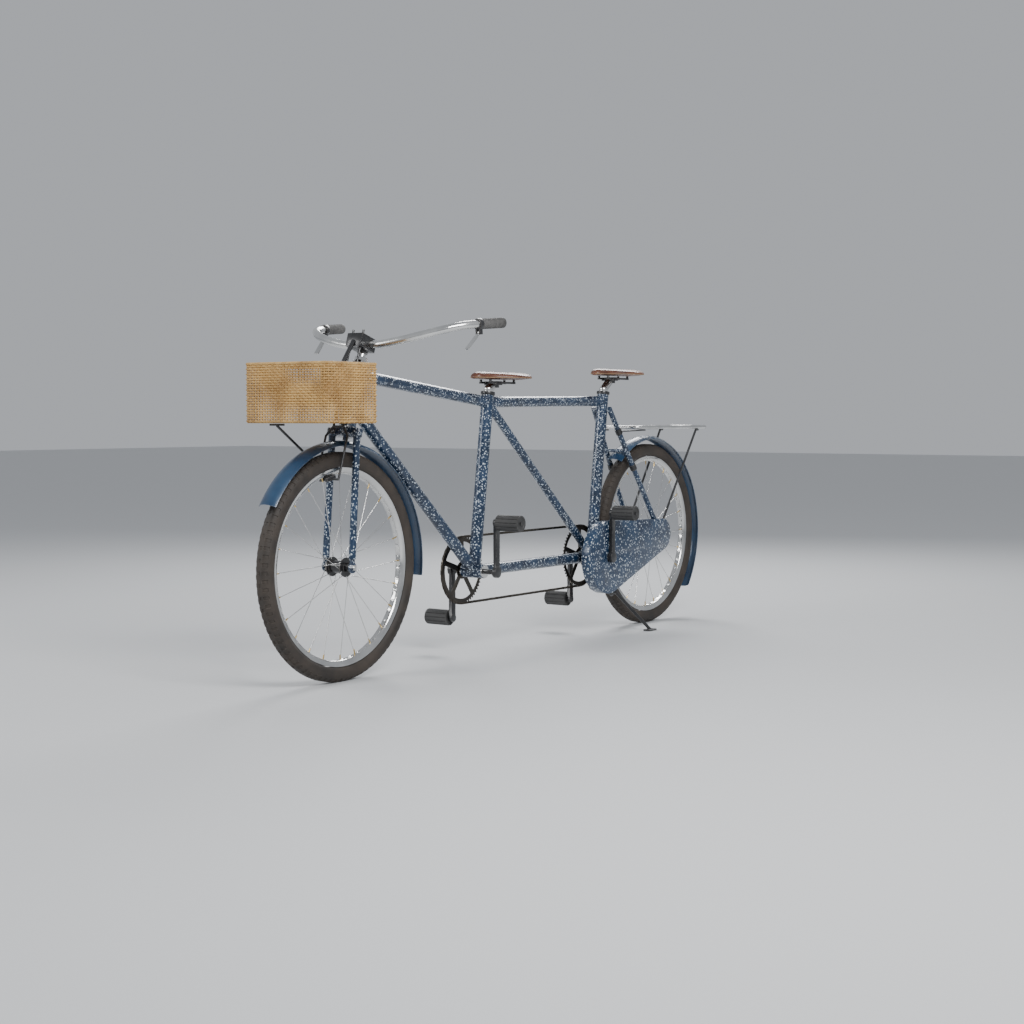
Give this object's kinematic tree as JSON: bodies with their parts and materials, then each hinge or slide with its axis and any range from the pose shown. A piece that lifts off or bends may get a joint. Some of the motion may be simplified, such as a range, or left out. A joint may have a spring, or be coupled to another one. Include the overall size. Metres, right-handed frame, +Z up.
{
  "type": "tandem bicycle",
  "caption": "Tandem bicycle for two riders, with upright handlebar, wicker front basket, fenders, rear rack, chain case, side stand, hand-pulled front brake and linked cranks.",
  "frame": {"origin": "on the ground, under the middle of the bicycle", "axes": "+X forwards along the wheelbase, +Y to the rider's left, +Z up"},
  "size_m": [2.565, 0.6898, 1.1132],
  "materials": {
    "frame_paint": "dark blue hammered enamel with pale flecks",
    "fender_paint": "satin blue enamel",
    "chrome": "worn chrome plating",
    "alloy": "polished and lightly worn",
    "dark_metal": "black enamel with worn edges",
    "chain_steel": "oiled dark steel",
    "saddle_leather": "worn brown leather",
    "grip_rubber": "grey ribbed rubber",
    "pedal_rubber": "dark grey ribbed rubber",
    "wicker": "woven golden wicker",
    "tyre_rubber": "brown-black grooved rubber"
  },
  "bodies": {
    "frame": {"head_tube": "frame_paint", "down_tube": "frame_paint", "top_tubes": "frame_paint", "seat_tubes": "frame_paint", "diagonal_tube": "frame_paint", "boom_tube": "frame_paint", "bb_shells": "frame_paint", "bearing_cups": "chrome", "chain_stays": "frame_paint", "seat_stays": "frame_paint", "rear_dropouts": "frame_paint", "seat_posts": "chrome", "seat_collars": "dark_metal", "front_saddle": "saddle_leather", "rear_saddle": "saddle_leather", "saddle_cradles": "dark_metal", "rear_fender": "fender_paint", "fender_bridge": "frame_paint", "rack_platform": "chrome", "rack_stays": "dark_metal", "chain_case": "frame_paint", "case_brackets": "dark_metal", "rear_axle": "chrome", "kickstand_bracket": "dark_metal", "timing_chain": "chain_steel", "drive_chain": "chain_steel"},
    "fork": {"steerer": "chrome", "fork_crown": "frame_paint", "fork_blades": "frame_paint", "stem": "chrome", "handlebar": "alloy", "handlebar_grips": "grip_rubber", "bar_clamp": "dark_metal", "lever_brackets": "dark_metal", "basket": "wicker", "basket_brackets": "dark_metal", "front_fender": "fender_paint", "front_axle": "chrome"},
    "front_wheel": {"front_tyre": "tyre_rubber", "front_rim": "chrome", "front_spokes": "chrome", "front_hub": "dark_metal"},
    "rear_wheel": {"rear_tyre": "tyre_rubber", "rear_rim": "chrome", "rear_spokes": "chrome", "rear_hub": "dark_metal"},
    "rear_driver": {"rear_sprocket": "dark_metal"},
    "front_cranks": {"front_crankset": "dark_metal", "front_timing_ring": "dark_metal"},
    "rear_cranks": {"rear_crankset": "dark_metal", "rear_timing_ring": "dark_metal", "drive_ring": "dark_metal"},
    "front_left_pedal_body": {"front_left_pedal": "pedal_rubber"},
    "front_right_pedal_body": {"front_right_pedal": "pedal_rubber"},
    "rear_left_pedal_body": {"rear_left_pedal": "pedal_rubber"},
    "rear_right_pedal_body": {"rear_right_pedal": "pedal_rubber"},
    "side_stand": {"kickstand": "dark_metal"},
    "left_lever": {"left_brake_lever": "chrome"},
    "right_lever": {"right_brake_lever": "chrome"},
    "front_brake": {"brake_stirrup": "dark_metal"}
  },
  "joints": [
    {"name": "steering", "type": "hinge", "parent": "frame", "child": "fork", "pos_m": [0.8915, 0, 0.775], "axis": [-0.3107, 0, 0.9505], "range_deg": [-45, 45]},
    {"name": "front_wheel_spin", "type": "hinge", "parent": "fork", "child": "front_wheel", "pos_m": [0.9325, 0, 0.35], "axis": [0, 1, 0], "continuous": true},
    {"name": "rear_wheel_spin", "type": "hinge", "parent": "frame", "child": "rear_wheel", "pos_m": [-0.8985, 0, 0.35], "axis": [0, 1, 0], "continuous": true},
    {"name": "front_crank_spin", "type": "hinge", "parent": "frame", "child": "front_cranks", "pos_m": [0.2375, 0, 0.286], "axis": [0, 1, 0], "continuous": true},
    {"name": "rear_crank_spin", "type": "hinge", "parent": "frame", "child": "rear_cranks", "pos_m": [-0.5025, 0, 0.286], "axis": [0, 1, 0], "continuous": true},
    {"name": "rear_driver_spin", "type": "hinge", "parent": "frame", "child": "rear_driver", "pos_m": [-0.8985, 0, 0.35], "axis": [0, 1, 0], "continuous": true},
    {"name": "front_left_pedal_spin", "type": "hinge", "parent": "front_cranks", "child": "front_left_pedal_body", "pos_m": [0.2375, 0.148, 0.452], "axis": [0, 1, 0], "continuous": true},
    {"name": "front_right_pedal_spin", "type": "hinge", "parent": "front_cranks", "child": "front_right_pedal_body", "pos_m": [0.2375, -0.148, 0.12], "axis": [0, 1, 0], "continuous": true},
    {"name": "rear_left_pedal_spin", "type": "hinge", "parent": "rear_cranks", "child": "rear_left_pedal_body", "pos_m": [-0.5025, 0.148, 0.452], "axis": [0, 1, 0], "continuous": true},
    {"name": "rear_right_pedal_spin", "type": "hinge", "parent": "rear_cranks", "child": "rear_right_pedal_body", "pos_m": [-0.5025, -0.148, 0.12], "axis": [0, 1, 0], "continuous": true},
    {"name": "stand_fold", "type": "hinge", "parent": "frame", "child": "side_stand", "pos_m": [-0.5805, 0.05, 0.14983], "axis": [0.2942, 0.8596, 0.4178], "range_deg": [0, 70]},
    {"name": "right_lever_pull", "type": "hinge", "parent": "fork", "child": "right_lever", "pos_m": [0.63521, -0.31111, 1.06233], "axis": [0.163, -0.9866, 0], "range_deg": [0, 20], "stiffness_Nm_per_rad": 1.5, "springref_deg": -17.19},
    {"name": "left_lever_pull", "type": "hinge", "parent": "fork", "child": "left_lever", "pos_m": [0.63521, 0.31111, 1.06233], "axis": [-0.163, -0.9866, 0], "range_deg": [0, 20]},
    {"name": "brake_lift", "type": "slide", "parent": "fork", "child": "front_brake", "axis": [-0.3107, 0, 0.9505], "range_m": [0, 0.003]}
  ],
  "couplings": [
    {"joint": "rear_crank_spin", "follows": "front_crank_spin", "ratio": 1},
    {"joint": "rear_driver_spin", "follows": "front_crank_spin", "ratio": 2.6},
    {"joint": "left_lever_pull", "follows": "right_lever_pull", "ratio": 1},
    {"joint": "brake_lift", "follows": "right_lever_pull", "m_per_rad": 0.0085}
  ]
}
